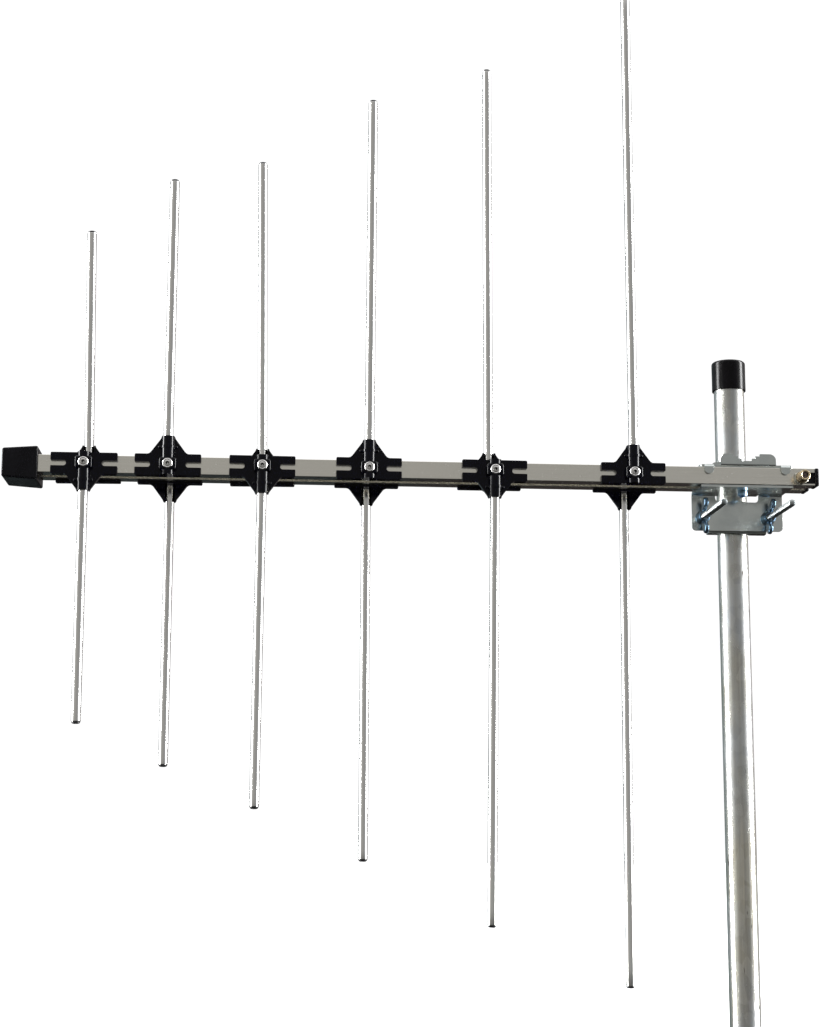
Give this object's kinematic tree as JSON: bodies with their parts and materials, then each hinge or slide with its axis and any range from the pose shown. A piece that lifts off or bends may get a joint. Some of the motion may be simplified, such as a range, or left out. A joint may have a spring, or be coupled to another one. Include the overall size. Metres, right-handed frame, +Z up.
{
  "type": "log-periodic antenna",
  "caption": "Twin-boom log-periodic VHF antenna with alternating rod dipoles in black plastic clamps, held near its tail by a U-bolt bracket on a short capped mast.",
  "frame": {"origin": "centre of the mast's lower end", "axes": "+Z up the mast; the booms run along X on the mast's -Y side, and the antenna's beam points along -X"},
  "size_m": [0.7017, 0.1189, 0.922],
  "materials": {
    "boom_aluminium": "satin, drawn along the boom",
    "rod_aluminium": "bright, drawn",
    "rivet_aluminium": "bright",
    "clamp_plastic": "glossy moulded, near black",
    "end_cap_plastic": "semi-gloss moulded, black",
    "mast_steel": "galvanised, mottled",
    "mast_cap_vinyl": "glossy dipped vinyl, black",
    "bracket_zinc": "zinc plated, grey green",
    "hardware_zinc": "zinc plated, bluish",
    "socket_brass": "nickel-flashed brass",
    "cable_sheath": "matt black",
    "link_copper": "bare copper"
  },
  "bodies": {
    "mast": {"mast_tube": "mast_steel", "mast_cap": "mast_cap_vinyl"},
    "antenna": {"element_1_front_rod": "rod_aluminium", "element_1_front_clamp": "clamp_plastic", "element_1_front_rivet": "rivet_aluminium", "element_1_rear_rod": "rod_aluminium", "element_1_rear_clamp": "clamp_plastic", "element_1_rear_rivet": "rivet_aluminium", "element_2_front_rod": "rod_aluminium", "element_2_front_clamp": "clamp_plastic", "element_2_front_rivet": "rivet_aluminium", "element_2_rear_rod": "rod_aluminium", "element_2_rear_clamp": "clamp_plastic", "element_2_rear_rivet": "rivet_aluminium", "element_3_front_rod": "rod_aluminium", "element_3_front_clamp": "clamp_plastic", "element_3_front_rivet": "rivet_aluminium", "element_3_rear_rod": "rod_aluminium", "element_3_rear_clamp": "clamp_plastic", "element_3_rear_rivet": "rivet_aluminium", "element_4_front_rod": "rod_aluminium", "element_4_front_clamp": "clamp_plastic", "element_4_front_rivet": "rivet_aluminium", "element_4_rear_rod": "rod_aluminium", "element_4_rear_clamp": "clamp_plastic", "element_4_rear_rivet": "rivet_aluminium", "element_5_front_rod": "rod_aluminium", "element_5_front_clamp": "clamp_plastic", "element_5_front_rivet": "rivet_aluminium", "element_5_rear_rod": "rod_aluminium", "element_5_rear_clamp": "clamp_plastic", "element_5_rear_rivet": "rivet_aluminium", "element_6_front_rod": "rod_aluminium", "element_6_front_clamp": "clamp_plastic", "element_6_front_rivet": "rivet_aluminium", "element_6_rear_rod": "rod_aluminium", "element_6_rear_clamp": "clamp_plastic", "element_6_rear_rivet": "rivet_aluminium", "boom_front": "boom_aluminium", "boom_rear": "boom_aluminium", "nose_cap": "end_cap_plastic", "tail_cap_front": "end_cap_plastic", "tail_cap_rear": "end_cap_plastic", "coax_socket": "socket_brass", "socket_nut": "socket_brass", "feed_cable": "cable_sheath", "feed_link": "link_copper", "upper_saddle": "bracket_zinc", "lower_bracket": "bracket_zinc", "plate_bolt": "hardware_zinc", "plate_bolt_nut": "hardware_zinc"},
    "u_bolt": {"u_bolt": "hardware_zinc"},
    "wing_nut_left": {"wing_nut_left": "hardware_zinc"},
    "wing_nut_right": {"wing_nut_right": "hardware_zinc"}
  },
  "joints": [
    {"name": "antenna_turn", "type": "hinge", "parent": "mast", "child": "antenna", "pos_m": [0, 0, 0.4866], "axis": [0, 0, 1], "continuous": true},
    {"name": "wing_nut_left_turn", "type": "hinge", "parent": "antenna", "child": "wing_nut_left", "pos_m": [-0.0313, -0.0193, 0.4558], "axis": [0, -1, 0], "range_deg": [0, 7200]},
    {"name": "wing_nut_right_turn", "type": "hinge", "parent": "antenna", "child": "wing_nut_right", "pos_m": [0.0273, -0.0193, 0.4558], "axis": [0, -1, 0], "range_deg": [0, 7200]},
    {"name": "u_bolt_slide", "type": "slide", "parent": "antenna", "child": "u_bolt", "axis": [0, 1, 0], "range_m": [0, 0.02]}
  ],
  "couplings": [
    {"joint": "wing_nut_left_turn", "follows": "u_bolt_slide", "rad_per_m": 6283.2},
    {"joint": "wing_nut_right_turn", "follows": "u_bolt_slide", "rad_per_m": 6283.2}
  ]
}
